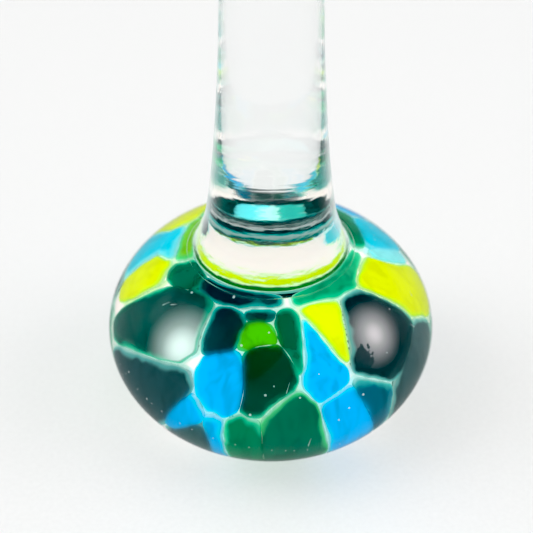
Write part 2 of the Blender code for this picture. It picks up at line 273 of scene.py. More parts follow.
class BedMap:
    """Signed distances to every shard's outline, on a grid of azimuth and latitude over the bed."""

    def __init__(self, outlines):
        self.outlines = outlines
        self.azimuths = np.arange(0.0, 360.0, MAP_STEP)
        self.latitudes = np.arange(MAP_LOW, MAP_HIGH, MAP_STEP)
        azimuth, latitude = np.meshgrid(self.azimuths, self.latitudes)
        turn, rise = np.radians(azimuth), np.radians(latitude)
        radius = (BASE_RADIUS - BED_DEPTH) * np.cos(rise)
        height = BASE_CENTRE + (BASE_HALF - BED_DEPTH) * np.sin(rise)
        points = np.stack([radius * np.cos(turn), radius * np.sin(turn), height], axis=-1)
        self.away = np.stack([self.signed(outline, points, azimuth, latitude) for outline in outlines])

    @staticmethod
    def signed(outline, points, azimuth, latitude):
        corners = np.array([base_point(a, b, BED_DEPTH) for a, b in outline])
        nearest = np.full(azimuth.shape, np.inf)
        inside = np.zeros(azimuth.shape, bool)
        middle = outline[0][0]
        here = unwrapped(azimuth, middle)
        turns = unwrapped([a for a, _ in outline], middle)
        rises = np.array([b for _, b in outline])
        for i in range(len(outline)):
            start, side = corners[i - 1], corners[i] - corners[i - 1]
            way = np.clip((points - start) @ side / max(side @ side, 1e-12), 0, 1)
            gap = np.linalg.norm(points - start - way[..., None] * side, axis=-1)
            nearest = np.minimum(nearest, gap)
            if rises[i] == rises[i - 1]:
                continue
            crosses = (latitude < rises[i]) != (latitude < rises[i - 1])
            slope = (turns[i] - turns[i - 1]) / (rises[i] - rises[i - 1])
            inside ^= crosses & (here < turns[i - 1] + (latitude - rises[i - 1]) * slope)
        return np.where(inside, -nearest, nearest)

    def room(self, index, partners=()):
        """How far inside the spread shard each point lies, below 0 outside it. Partners touch it."""
        own = self.away[index]
        others = range(len(self.away))
        veins = np.array([FUSED_GAP if other in partners else VEIN_WIDTH for other in others])
        halfway_to = (self.away - own - veins[:, None, None]) / 2
        nearest = np.partition(np.delete(halfway_to, index, axis=0), 1, axis=0)[:2]
        return soft_min(soft_min(spread_of(index, self.outlines[index]) - own, nearest[0]), nearest[1])

    def free_room(self, index, partners):
        """The same distance, but to the edges that a vein parts from the next shard."""
        own = self.away[index]
        family = {index, *partners}
        strangers = [other for other in range(len(self.away)) if other not in family]
        nearest = np.partition((self.away[strangers] - own - VEIN_WIDTH) / 2, 1, axis=0)[:2]
        edge = spread_of(index, self.outlines[index]) - np.min(self.away[[index, *partners]], axis=0)
        return soft_min(soft_min(edge, nearest[0]), nearest[1])

    def sample(self, field, azimuth, latitude):
        column = (azimuth % 360.0) / MAP_STEP
        row = min(max((latitude - MAP_LOW) / MAP_STEP, 0.0), len(self.latitudes) - 1.001)
        i, j = int(column), int(row)
        u, v = column - i, row - j
        i %= len(self.azimuths)
        k = (i + 1) % len(self.azimuths)
        low = field[j, i] * (1 - u) + field[j, k] * u
        high = field[j + 1, i] * (1 - u) + field[j + 1, k] * u
        return low * (1 - v) + high * v


def spread_of(index, outline):
    """How far a shard may spread. The ones round the back melted out further."""
    middle = sum(unwrapped([a for a, _ in outline], outline[0][0])) / len(outline) % 360.0
    melted = BACK_AZIMUTHS[0] < middle < BACK_AZIMUTHS[1] and not SHARD_NODES[index].startswith("crest")
    usual = BACK_SPREAD if melted else SHARD_SPREAD
    return TIGHT_SPREADS.get(SHARD_NODES[index], usual)


def soft_min(first, second):
    blend = np.clip(0.5 + 0.5 * (second - first) / CORNER_SOFTNESS, 0, 1)
    return second * (1 - blend) + first * blend - CORNER_SOFTNESS * blend * (1 - blend) * 0.5


# ---------------------------------------------------------------- shader helpers

def new_material(name):
    material = bpy.data.materials.new(name)
    material.use_nodes = True
    tree = material.node_tree
    tree.nodes.clear()
    return material, tree


def add(tree, kind, inputs=(), **settings):
    """Adds a node. A shader input is a value, or another node's output to link."""
    node = tree.nodes.new(kind)
    for key, value in settings.items():
        setattr(node, key, value)
    for key, value in dict(inputs).items():
        if isinstance(value, bpy.types.NodeSocket):
            tree.links.new(value, node.inputs[key])
        elif isinstance(value, tuple) and len(value) == 3 and node.inputs[key].type == "RGBA":
            node.inputs[key].default_value = (*value, 1.0)
        else:
            node.inputs[key].default_value = value
    return node


def mix_colour(tree, factor, first, second):
    node = add(tree, "ShaderNodeMix", data_type="RGBA")
    for key, value in ((0, factor), (6, first), (7, second)):
        if isinstance(value, bpy.types.NodeSocket):
            tree.links.new(value, node.inputs[key])
        else:
            node.inputs[key].default_value = (*value, 1.0) if isinstance(value, tuple) else value
    return node.outputs[2]


def math_node(tree, operation, *values, clamped=False):
    inputs = dict(enumerate(values))
    return add(tree, "ShaderNodeMath", inputs, operation=operation, use_clamp=clamped).outputs[0]


def smooth_step(tree, value, low, high, start=0.0, end=1.0):
    inputs = {"Value": value, "From Min": low, "From Max": high, "To Min": start, "To Max": end}
    return add(tree, "ShaderNodeMapRange", inputs, interpolation_type="SMOOTHSTEP").outputs["Result"]


def mix_shader(tree, factor, first, second):
    return add(tree, "ShaderNodeMixShader", {0: factor, 1: first, 2: second}).outputs[0]


def finish(tree, surface):
    add(tree, "ShaderNodeOutputMaterial", {"Surface": surface})


# ---------------------------------------------------------------- materials

def clear_glass(name, edge_sheen=0.0):
    """Clear glass that lets light in to what it covers. Its outline can have a painted pale sheen."""
    material, tree = new_material(name)
    place = add(tree, "ShaderNodeTexCoord").outputs["Object"]
    swirl = add(tree, "ShaderNodeTexNoise", {"Vector": place, "Scale": 60.0, "Detail": 2.0})
    tint = mix_colour(tree, swirl.outputs["Fac"], (0.985, 1.0, 0.995), (1.0, 1.0, 1.0))
    inputs = {"Base Color": tint, "Roughness": 0.0, "IOR": GLASS_IOR, "Transmission Weight": 1.0}
    glass = add(tree, "ShaderNodeBsdfPrincipled", inputs).outputs[0]
    if edge_sheen:
        make_wavy(tree, place, glass.node)
    # Painted sheen: a pale diffuse layer where the surface is seen edge on, standing in for the glass's
    # bright edges.
    pale = add(tree, "ShaderNodeBsdfDiffuse", {"Color": EDGE_SHEEN_COLOUR}).outputs[0]
    edge_on = add(tree, "ShaderNodeLayerWeight", {"Blend": 0.5}).outputs["Facing"]
    glass = mix_shader(tree, smooth_step(tree, edge_on, *EDGE_SHEEN_RANGE, 0.0, edge_sheen), glass, pale)
    see_through = add(tree, "ShaderNodeBsdfTransparent").outputs[0]
    path = add(tree, "ShaderNodeLightPath")
    lit = mix_shader(tree, path.outputs["Is Diffuse Ray"], glass, see_through)
    finish(tree, mix_shader(tree, path.outputs["Is Shadow Ray"], lit, see_through))
    return material


def make_wavy(tree, place, glass):
    """Low waves and a slight softness that die out above the foot of the neck."""
    height = add(tree, "ShaderNodeSeparateXYZ", {0: place}).outputs["Z"]
    low = smooth_step(tree, height, *WAVY_HEIGHTS, 1.0, 0.0)
    drawn = add(tree, "ShaderNodeMapping", {"Vector": place, "Scale": WAVE_STRETCH}).outputs[0]
    waves = add(tree, "ShaderNodeTexNoise", {"Vector": drawn, "Scale": WAVE_SCALE, "Detail": 2.0})
    relief = math_node(tree, "MULTIPLY", waves.outputs["Fac"], low)
    bump = add(tree, "ShaderNodeBump", {"Height": relief, "Strength": 1.0, "Distance": WAVE_HEIGHT})
    tree.links.new(bump.outputs[0], glass.inputs["Normal"])
    tree.links.new(math_node(tree, "MULTIPLY", low, WAVY_ROUGHNESS), glass.inputs["Roughness"])


def fused_glass(name):
    """Where two gathers are fused nothing shows."""
    material, tree = new_material(name)
    finish(tree, add(tree, "ShaderNodeBsdfTransparent").outputs[0])
    return material


# Each colour: its body, its bright thin edge, how milky and how streaky its body is, and how far
# its inner side takes the edge's colour, as painted light from outside shining through.
COLOURS = {
    "lime_glass": ((0.86, 0.92, 0.0), (0.66, 0.92, 0.04), 0.95, 0.20, 0.0),
    "cyan_glass": ((0.0, 0.72, 0.90), (0.30, 0.90, 0.95), 0.9, 0.35, 0.5),
    "blue_glass": ((0.0, 0.56, 1.0), (0.0, 0.80, 0.98), 0.9, 0.45, 0.5),
    "emerald_glass": ((0.0, 0.30, 0.13), (0.05, 0.80, 0.46), 0.65, 0.7, 0.5),
    "green_glass": ((0.03, 0.48, 0.0), (0.10, 0.80, 0.30), 0.65, 0.6, 0.0),
    "dark_green_glass": ((0.0, 0.13, 0.06), (0.0, 0.66, 0.40), 0.6, 0.7, 0.6),
    "teal_glass": ((0.0, 0.21, 0.32), (0.10, 0.74, 0.66), 0.6, 0.6, 0.6),
    "navy_glass": ((0.0, 0.05, 0.07), (0.0, 0.62, 0.55), 0.65, 0.7, 0.0),
    "slate_glass": ((0.08, 0.16, 0.17), (0.30, 0.72, 0.66), 0.65, 0.6, 0.8),
    "charcoal_glass": ((0.045, 0.11, 0.125), (0.20, 0.66, 0.62), 0.7, 0.6, 0.8),
}
RIM_COLOUR = (0.72, 0.95, 0.90)

# Shards whose glass is darker or brighter than their slot's.
BODY_TONES = {
    # Painted light: the window's bright green stands in for light shining through it from behind.
    "shoulder_shard_green_window": (0.15, 0.72, 0.0),
    "crest_shard_green_strip": (0.30, 0.66, 0.02),
    "crest_shard_green_left": (0.0, 0.20, 0.11),
    "crest_shard_green_right": (0.04, 0.50, 0.26),
    "shoulder_shard_silver_teal": (0.0, 0.12, 0.10),
    "shoulder_shard_green_finger": (0.0, 0.17, 0.08),
    "belly_shard_deep_green": (0.0, 0.065, 0.03),
    "lower_shard_green_front": (0.0, 0.22, 0.11),
    "shoulder_shard_pale_cyan": (0.38, 0.93, 0.96),
    "shoulder_shard_black_right": (0.02, 0.045, 0.055),
    "crest_shard_navy_back": (0.0, 0.035, 0.05),
    "shoulder_shard_navy_back": (0.0, 0.035, 0.05),
    "lower_shard_green_back": (0.0, 0.30, 0.01),
    "foot_shard_emerald_back": (0.0, 0.05, 0.05),
}

# The bright edge of a shard: its width, how that varies along it, and how milky its rim is.
EDGE_DEPTH = 1.5 * MM
EDGE_SHARES = (0.45, 1.3)
EDGE_MILK = 0.55
FOOT_SHARD_DEPTH = 0.55 * MM

# Fine streaks drawn out in the body of the glass, and how much light the milky glass lets through.
STREAK_SCALE = 260.0
STREAK_LEAN = (0.5, 0.4, 0.2)
STREAK_STRETCH = (1.0, 1.0, 0.25)
CLOUD_SCALE = 170.0
LET_THROUGH = 0.35

# A painted highlight that clouds a shard's middle: a pale patch standing in for the lamps' soft
# reflection in the shard's metallic lustre. Its centre as (azimuth, latitude), the radii it fades
# between, its colour, and the centre of a patch where it has frayed away.
Lustre = namedtuple("Lustre", "centre inner outer colour frayed")
PAINTED_HIGHLIGHTS = {
    "shoulder_shard_silver_teal": Lustre((231, 31), 1.0 * MM, 10.5 * MM, (0.84, 0.95, 0.92), None),
    "shoulder_shard_black_right": Lustre((318, 33), 0.0 * MM, 8.0 * MM, (0.78, 0.72, 0.74), (308, 27)),
}
PAINTED_HIGHLIGHT_RIM = (0.1 * MM, 0.8 * MM)
FRAYED_RADIUS = 2.6 * MM
FRAY_SCALE = 760.0
FRAY_REACH = 5.0 * MM
FRAY_EDGE = 0.25 * MM


def body_colour(node):
    return BODY_TONES.get(node, COLOURS[SLOTS[node]][0])


def shard_glass(slot, painted_highlight=None, body=None, depth=FOOT_SHARD_DEPTH):
    """Coloured glass whose edges glow. Its colour and depth are given, or read from the mesh."""
    _, edge, milk, streakiness, inner_glow = COLOURS[slot]
    material, tree = new_material(slot + ("_lustre" if painted_highlight else "") + ("_foot" if body else ""))
    place = add(tree, "ShaderNodeTexCoord").outputs["Object"]
    drawn = add(tree, "ShaderNodeMapping",
                {"Vector": place, "Rotation": STREAK_LEAN, "Scale": STREAK_STRETCH})
    wisps = add(tree, "ShaderNodeTexNoise",
                {"Vector": drawn.outputs[0], "Scale": STREAK_SCALE, "Detail": 3.0, "Distortion": 0.8})
    clouds = add(tree, "ShaderNodeTexNoise", {"Vector": place, "Scale": CLOUD_SCALE, "Detail": 2.0})
    plain = body or add(tree, "ShaderNodeAttribute", attribute_name="tint").outputs["Color"]
    dark = mix_colour(tree, 0.5, plain, (0.0, 0.0, 0.0))
    streaks = smooth_step(tree, wisps.outputs["Fac"], 0.42, 0.72, 0.0, streakiness)
    inner = mix_colour(tree, streaks, plain, dark)
    # Painted light: the side facing the core takes the edge's colour, as if lit through from outside.
    lit_inside = smooth_step(tree, faces_in(tree, place), 0.0, 0.1, 0.0, inner_glow)
    inner = mix_colour(tree, lit_inside, inner, edge)
    depth = depth if body else add(tree, "ShaderNodeAttribute", attribute_name="depth").outputs["Fac"]
    thinnest, widest = (share * EDGE_DEPTH for share in EDGE_SHARES)
    width = smooth_step(tree, clouds.outputs["Fac"], 0.30, 0.70, thinnest, widest)
    way = math_node(tree, "DIVIDE", depth, width)
    glow = mix_colour(tree, smooth_step(tree, way, 0.0, 0.30), RIM_COLOUR, edge)
    inside = smooth_step(tree, way, 0.15, 1.0)
    colour = mix_colour(tree, inside, glow, inner)
    tint = mix_colour(tree, 0.35, colour, (1.0, 1.0, 1.0))
    see_through = add(tree, "ShaderNodeBsdfTransparent", {"Color": tint}).outputs[0]
    front = add(tree, "ShaderNodeBsdfDiffuse", {"Color": colour}).outputs[0]
    back = add(tree, "ShaderNodeBsdfTranslucent", {"Color": colour}).outputs[0]
    milky = smooth_step(tree, way, 0.0, 0.6, EDGE_MILK, milk)
    # Painted highlight: a pale, milky patch in place of the lamps' reflection.
    if painted_highlight:
        share = painted_highlight_share(tree, place, depth, painted_highlight)
        for shader in (front, back):
            tree.links.new(mix_colour(tree, share, colour, painted_highlight.colour), shader.node.inputs["Color"])
        milky = math_node(tree, "MAXIMUM", milky, share)
    finish(tree, mix_shader(tree, milky, see_through, mix_shader(tree, LET_THROUGH, front, back)))
    return material


def faces_in(tree, place):
    """Above 0 where the surface faces the middle of the base."""
    normal = add(tree, "ShaderNodeNewGeometry").outputs["True Normal"]
    middle = (0.0, 0.0, BASE_CENTRE)
    inward = add(tree, "ShaderNodeVectorMath", {0: middle, 1: place}, operation="SUBTRACT")
    inward = add(tree, "ShaderNodeVectorMath", {0: inward.outputs[0]}, operation="NORMALIZE")
    both = add(tree, "ShaderNodeVectorMath", {0: normal, 1: inward.outputs[0]}, operation="DOT_PRODUCT")
    return both.outputs["Value"]


def distance_from(tree, place, angles):
    spot = tuple(base_point(*angles, BED_DEPTH))
    away = add(tree, "ShaderNodeVectorMath", {0: place, 1: spot}, operation="DISTANCE")
    return away.outputs["Value"]


def painted_highlight_share(tree, place, depth, painted_highlight):
    """How far the painted highlight hides the glass: most at its middle, none at the rim or on the frayed
    patch.
    """
    away = distance_from(tree, place, painted_highlight.centre)
    share = smooth_step(tree, away, painted_highlight.inner, painted_highlight.outer, 1.0, 0.0)
    share = math_node(tree, "MULTIPLY", share, smooth_step(tree, depth, *PAINTED_HIGHLIGHT_RIM))
    if painted_highlight.frayed:
        rough = add(tree, "ShaderNodeTexNoise", {"Vector": place, "Scale": FRAY_SCALE, "Detail": 1.0})
        away = distance_from(tree, place, painted_highlight.frayed)
        reach = math_node(tree, "MULTIPLY_ADD", rough.outputs["Fac"], FRAY_REACH, away)
        edge = FRAYED_RADIUS + FRAY_REACH / 2
        share = math_node(tree, "MULTIPLY", share, smooth_step(tree, reach, edge, edge + FRAY_EDGE))
    return share


def milky_glass(name, sheet_colour=None):
    """The white glass in the gaps, thinning out under the shards, or a sheet of one colour.

    Light scatters in it, and a faint painted glow (emission) is added on top."""
    material, tree = new_material(name)
    place = add(tree, "ShaderNodeTexCoord").outputs["Object"]
    room = add(tree, "ShaderNodeAttribute", attribute_name="room").outputs["Fac"]
    wisps = add(tree, "ShaderNodeTexNoise", {"Vector": place, "Scale": STREAK_SCALE, "Detail": 3.0})
    white = mix_colour(tree, wisps.outputs["Fac"], *VEIL_WHITES)
    tint = add(tree, "ShaderNodeAttribute", attribute_name="tint").outputs["Color"]
    tinted = smooth_step(tree, room, -WIDE_GAP, -NARROW_GAP, 0.0, VEIN_TINT)
    colour = mix_colour(tree, tinted, white, tint)
    if sheet_colour:
        colour = mix_colour(tree, wisps.outputs["Fac"], sheet_colour, PALE_FOOT_TINT)
    see_through = add(tree, "ShaderNodeBsdfTransparent").outputs[0]
    front = add(tree, "ShaderNodeBsdfDiffuse", {"Color": colour}).outputs[0]
    back = add(tree, "ShaderNodeBsdfTranslucent", {"Color": colour}).outputs[0]
    # Painted glow: the milky glass gives off a little light of its own.
    glow = add(tree, "ShaderNodeEmission", {"Color": colour, "Strength": PAINTED_MILK_GLOW}).outputs[0]
    milk = mix_shader(tree, LET_THROUGH, front, back)
    lit = add(tree, "ShaderNodeAddShader", {0: milk, 1: glow}).outputs[0]
    shows = smooth_step(tree, room, VEIL_FADE, VEIL_MARGIN, 1.0, 0.0)
    finish(tree, mix_shader(tree, shows, see_through, lit))
    return material


# ---------------------------------------------------------------- clear pieces

def new_object(name, data):
    piece = bpy.data.objects.new(name, data)
    bpy.context.scene.collection.objects.link(piece)
    return piece


def finished_mesh(name, work, materials):
    """The mesh that was being worked on, smooth and with its materials."""
    for face in work.faces:
        face.smooth = True
    mesh = bpy.data.meshes.new(name)
    work.to_mesh(mesh)
    work.free()
    for material in materials:
        mesh.materials.append(material)
    return mesh


def turned_mesh(name, profile, slots, materials):
    """A closed mesh turned round Z. slots gives the material index of each stretch of the outline."""
    work = bmesh.new()
    rings = []
    for radius, height in profile:
        if radius < 0.001 * MM:
            rings.append([work.verts.new((0, 0, height))])
            continue
        turns = [math.tau * step / TURN_STEPS for step in range(TURN_STEPS)]
        places = [(radius * math.cos(turn), radius * math.sin(turn), height) for turn in turns]
        rings.append([work.verts.new(place) for place in places])
    for upper, lower, slot in zip(rings, rings[1:] + rings[:1], slots):
        if len(upper) == len(lower) == 1:
            continue
        for step in range(TURN_STEPS):
            after = (step + 1) % TURN_STEPS
            top = [upper[0]] if len(upper) == 1 else [upper[step], upper[after]]
            bottom = [lower[0]] if len(lower) == 1 else [lower[after], lower[step]]
            work.faces.new(top + bottom).material_index = slot
    bmesh.ops.recalc_face_normals(work, faces=work.faces)
    return finished_mesh(name, work, materials)


def add_piece(name, mesh, node=None):
    """Puts a piece of the vase in the scene, in place of a CAD node if it stands for one."""
    piece = new_object(name, mesh)
    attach(piece, BODY)
    if node:
        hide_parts(node)
    return piece


def add_clear(name, profile, slots, materials, node):
    add_piece(name, turned_mesh(name, profile, slots, materials), node)


def halfway(first, second):
    return tuple((a + b) / 2 for a, b in zip(first, second))


def build_clear_pieces(clear, fused):
    """The neck, casing and core. Neck and casing meet edge to edge at the crease, as fused glass does."""
    neck = meridian("neck_tube")
    rim = max(range(len(neck)), key=lambda i: neck[i][0] if neck[i][1] < OUTER[0][1] + MM else 0)
    crease = halfway(neck[rim], OUTER[0])
    air = smooth_line(neck[:rim] + [crease], CURVE_PARTS)
    under = neck[rim + 1:]
    add_clear("neck", air + under, [0] * (len(air) - 1) + [1] * (len(under) + 1),
              [clear_glass("neck_glass", NECK_EDGE_SHEEN), fused], "neck_tube")

    side = smooth_line([crease] + OUTER[1:], CURVE_PARTS)
    hidden = FLOOR + INNER
    slots = [1] * len(hidden) + [0] * (len(side) + 2)
    add_clear("casing", hidden + side + FOOT, slots, [clear, fused], "base_casing")

    core = meridian("base_core")
    add_clear("core", core, [1] * len(core), [clear, fused], "base_core")


def build_foot_layers():
    """The milky sheet and the dark ring that lie on the casing's floor."""
    floor = FLOOR[0][1]
    low, high = (floor + height for height in SHEET_HEIGHTS)
    sheet = [(0.0, high), (SHEET_RADIUS, high), (SHEET_RADIUS, low), (0.0, low)]
    # The sheet is milky glass, so it carries the same faint painted glow.
    add_layer("foot_sheet", sheet, milky_glass("foot_milk", FOOT_TINT))
    bottom, top = (base_point(0.0, latitude, BED_DEPTH) for latitude in RING_LATITUDES)
    inside = SHEET_RADIUS + SHEET_HEIGHTS[1]
    outline = [(inside, low), (bottom.x, bottom.z), (top.x, top.z)]
    raised = [(point.x - RING_DEPTH / 2, point.z + RING_DEPTH) for point in (top, bottom)]
    dark = shard_glass("navy_glass", body=BODY_TONES["foot_shard_emerald_back"], depth=EDGE_DEPTH)
    add_layer("foot_ring", outline + raised + [(inside, high)], dark)


def add_layer(name, profile, material):
    add_piece(name, turned_mesh(name, profile, [0] * len(profile), [material]))


# ---------------------------------------------------------------- shards

def spread_limit(bed, field, centre, step):
    """How far the shard reaches from its centre along a step of (azimuth, latitude)."""
    way = 0.0
    before = room_at(bed, field, centre, step, way)
    while before > 0 and way < LONGEST_REACH:
        way += REACH_STEP
        now = room_at(bed, field, centre, step, way)
        if now <= 0:
            return way - REACH_STEP * now / (now - before)
        before = now
    return way


def room_at(bed, field, centre, step, way):
    azimuth = centre[0] + step[0] * way
    latitude = centre[1] + step[1] * way
    here = base_point(azimuth, latitude, BED_DEPTH)
    wobble = noise.noise(here / WOBBLE_LENGTH) * EDGE_WOBBLE
    return bed.sample(field, azimuth, latitude) + wobble


def melted_colour(bed, family, here, azimuth, latitude):
    """The body colour at a place: the shard's own, melting into those of the shards fused to it."""
    total, colour = 0.0, Vector((0.0, 0.0, 0.0))
    for member in family:
        wander = noise.noise(here / (2 * WOBBLE_LENGTH) + Vector((member, 0.0, 0.0))) * BLEND_WANDER
        weight = math.exp(-(bed.sample(bed.away[member], azimuth, latitude) + wander) / BLEND_WIDTH)
        total += weight
        colour += Vector(body_colour(SHARD_NODES[member])) * weight
    return colour / total


def join_rings(work, low, high, outward):
    """Faces between two rings of corners. They are triangles where the low ring is one point."""
    for spoke in range(SHARD_SPOKES):
        after = (spoke + 1) % SHARD_SPOKES
        corners = [low[spoke], high[spoke], high[after]]
        if low[after] is not low[spoke]:
            corners.append(low[after])
        work.faces.new(corners if outward else corners[::-1])


def middle_of(outline, bed, field):
    """The shard's centre, and half its size, in azimuth and latitude."""
    azimuths = unwrapped([a for a, _ in outline], outline[0][0])
    latitudes = [b for _, b in outline]
    centre = ((max(azimuths) + min(azimuths)) / 2, (max(latitudes) + min(latitudes)) / 2)
    if room_at(bed, field, centre, (0, 0), 0) <= 0:
        centre = (sum(azimuths) / len(azimuths), sum(latitudes) / len(latitudes))
    return centre, ((max(azimuths) - min(azimuths)) / 2, (max(latitudes) - min(latitudes)) / 2)


def build_shard(node, outline, index, partners, bed, material):
    """A pillow of glass, thickest in its middle. It thins out towards a vein, not towards a partner."""
    field = bed.room(index, partners)
    free = bed.free_room(index, partners)
    family = [index, *partners]
    centre, reach = middle_of(outline, bed, field)
    rounding = min(EDGE_ROUNDING, ROUNDED_SHARE * max(bed.sample(field, *centre), SMALLEST_ROOM))
    work = bmesh.new()
    depths = work.verts.layers.float.new("depth")
    tints = work.verts.layers.float_color.new("tint")

    def corner(way, step, side):
        azimuth, latitude = centre[0] + step[0] * way, centre[1] + step[1] * way
        depth = max(room_at(bed, free, centre, step, way), 0.0)
        share = min(depth / rounding, 1.0)
        half = SHARD_THICKNESS / 2 * math.sqrt(1 - (1 - share) ** 2) * side
        vertex = work.verts.new(base_point(azimuth, latitude, BED_DEPTH - half))
        vertex[depths] = depth
        vertex[tints] = (*melted_colour(bed, family, vertex.co, azimuth, latitude), 1.0)
        return vertex

    steps = []
    for spoke in range(SHARD_SPOKES):
        turn = math.tau * spoke / SHARD_SPOKES
        steps.append((reach[0] * math.cos(turn), reach[1] * math.sin(turn)))
    limits = [spread_limit(bed, field, centre, step) for step in steps]
    rim = [corner(limit, step, 0) for limit, step in zip(limits, steps)]
    for side in (1, -1):
        crown = corner(0.0, (0.0, 0.0), side)
        rings = [[crown] * SHARD_SPOKES]
        for ring in range(1, SHARD_RINGS):
            share = math.sin(math.pi / 2 * ring / SHARD_RINGS)
            rings.append([corner(limit * share, step, side) for limit, step in zip(limits, steps)])
        rings.append(rim)
        for low, high in zip(rings, rings[1:]):
            join_rings(work, low, high, side > 0)
    bmesh.ops.recalc_face_normals(work, faces=work.faces)
    mesh = finished_mesh(node + "_fine", work, [material])
    add_piece(node + "_fine", mesh, node)


def build_veil(bed):
    """A sheet of milky glass just inside the gaps between the shards."""
    rooms = np.array([bed.room(index) for index in range(len(SHARD_NODES))])
    order = np.argsort(rooms, axis=0)
    room = np.max(rooms, axis=0)
    edges = np.array([COLOURS[SLOTS[node]][1] for node in SHARD_NODES])
    colours = (edges[order[-1]] + edges[order[-2]]) / 2
    latitude = np.meshgrid(bed.azimuths, bed.latitudes)[1]
    lowest, highest = VEIL_LATITUDES
    wanted = (room < VEIL_MARGIN) & (latitude > lowest) & (latitude < highest)
    work = bmesh.new()
    layer = work.verts.layers.float.new("room")
    tints = work.verts.layers.float_color.new("tint")
    corners = {}
    for row, column in zip(*np.nonzero(wanted[:-1])):
        after = (column + 1) % room.shape[1]
        ends = [(row, column), (row, after), (row + 1, after), (row + 1, column)]
        if not all(wanted[end] for end in ends):
            continue
        for end in ends:
            if end not in corners:
                place = base_point(bed.azimuths[end[1]], bed.latitudes[end[0]], VEIL_DEPTH)
                corners[end] = work.verts.new(place)
                corners[end][layer] = room[end]
                corners[end][tints] = (*colours[end], 1.0)
        work.faces.new([corners[end] for end in ends])
    mesh = finished_mesh("milky_veins", work, [milky_glass("milky_glass")])
    veil = add_piece("milky_veins", mesh)
    thicken = veil.modifiers.new("Thickness", "SOLIDIFY")
    thicken.thickness = VEIL_THICKNESS
    thicken.offset = -1.0


def partners_of(index):
    """The shards fused to this one."""
    for group in FUSED_GROUPS:
        if SHARD_NODES[index] in group:
            return [other for other, name in enumerate(SHARD_NODES) if name in group and other != index]
    return []


def build_shards():
    outlines = [rim_angles(node) for node in SHARD_NODES]
    bed = BedMap(outlines)
    made = {slot: shard_glass(slot) for slot in sorted({SLOTS[node] for node in SHARD_NODES})}
    for index, (node, outline) in enumerate(zip(SHARD_NODES, outlines)):
        slot = SLOTS[node]
        material = shard_glass(slot, PAINTED_HIGHLIGHTS[node]) if node in PAINTED_HIGHLIGHTS else made[slot]
        build_shard(node, outline, index, partners_of(index), bed, material)
    for node in FOOT_NODES:
        for place in frame["nodes"][node].material_slots:
            place.material = shard_glass(SLOTS[node], body=body_colour(node))
    build_veil(bed)


# ---------------------------------------------------------------- bubbles and threads

# Seed bubbles in the casing, as (azimuth, latitude), and the radius of the biggest.
BUBBLES = (
    (219, 53), (269, 47), (271, 25), (263, 11), (212, 4), (332, 37), (303, 12), (293, 3), (331, -6),
    (257, 41), (280, 19), (288, 28), (268, 21), (223, -2), (198, 5), (245, 59), (297, 8), (318, 24),
)
BUBBLE_RADIUS = 0.26 * MM
BUBBLE_SIZES = (1.0, 0.8, 0.6)
BUBBLE_DEPTH = 1.7 * MM
BUBBLE_HAZE = 900.0
# How strongly bubbles and threads glow: a painted glint, brightest round the rim.
BUBBLE_PAINTED_GLINT = 0.8

# Smaller ones are strewn in a spiral, evenly between two heights given as shares of the base's own.
STRAY_BUBBLES = 60
GOLDEN_ANGLE = 137.508
GOLDEN_SHARE = 0.618
SIZE_SHARE = 0.377
STRAY_LOW, STRAY_SPAN = -0.55, 1.35
STRAY_SMALLEST, STRAY_GROWTH = 0.35, 0.3

# Fine threads trapped in the casing: (azimuth, latitude), lean in degrees and length.
THREADS = (
    ((212, 43), 60, 1.9 * MM), ((216, 45), 40, 1.6 * MM), ((337, 23), 120, 1.7 * MM),
    ((276, 24), 70, 2.4 * MM), ((283, -8), 80, 2.6 * MM), ((207, -4), 85, 1.5 * MM),
    ((350, 30), 50, 1.3 * MM), ((30, 20), 60, 1.8 * MM), ((120, 30), 70, 1.6 * MM),
    ((160, 5), 40, 2.0 * MM),
)
THREAD_RADIUS = 0.07 * MM


def bubble_glass(name):
    """Trapped air, drawn with a painted glint: it glows a little all over and most round its rim, in
    place of the light it would mirror there.
    """
    material, tree = new_material(name)
    place = add(tree, "ShaderNodeTexCoord").outputs["Object"]
    haze = add(tree, "ShaderNodeTexNoise", {"Vector": place, "Scale": BUBBLE_HAZE}).outputs["Fac"]
    colour = mix_colour(tree, haze, (0.75, 0.95, 0.92), (1.0, 1.0, 1.0))
    see_through = add(tree, "ShaderNodeBsdfTransparent").outputs[0]
    # Painted glint: emission in place of the light that trapped air mirrors.
    painted_glint = add(tree, "ShaderNodeEmission", {"Color": colour, "Strength": BUBBLE_PAINTED_GLINT}).outputs[0]
    rim = add(tree, "ShaderNodeLayerWeight", {"Blend": 0.5}).outputs["Facing"]
    finish(tree, mix_shader(tree, smooth_step(tree, rim, 0.0, 0.7, 0.35, 0.9), see_through, painted_glint))
    return material


def build_bubbles():
    work = bmesh.new()
    places = [(place, BUBBLE_SIZES[index % len(BUBBLE_SIZES)]) for index, place in enumerate(BUBBLES)]
    for index in range(STRAY_BUBBLES):
        height = STRAY_LOW + STRAY_SPAN * ((index * GOLDEN_SHARE) % 1.0)
        angles = ((index * GOLDEN_ANGLE) % 360.0, math.degrees(math.asin(height)))
        places.append((angles, STRAY_SMALLEST + STRAY_GROWTH * ((index * SIZE_SHARE) % 1.0)))
    for (azimuth, latitude), size in places:
        where = Matrix.Translation(base_point(azimuth, latitude, BUBBLE_DEPTH))
        bmesh.ops.create_icosphere(work, subdivisions=2, radius=BUBBLE_RADIUS * size, matrix=where)
    add_inclusions("seed_bubbles", work)


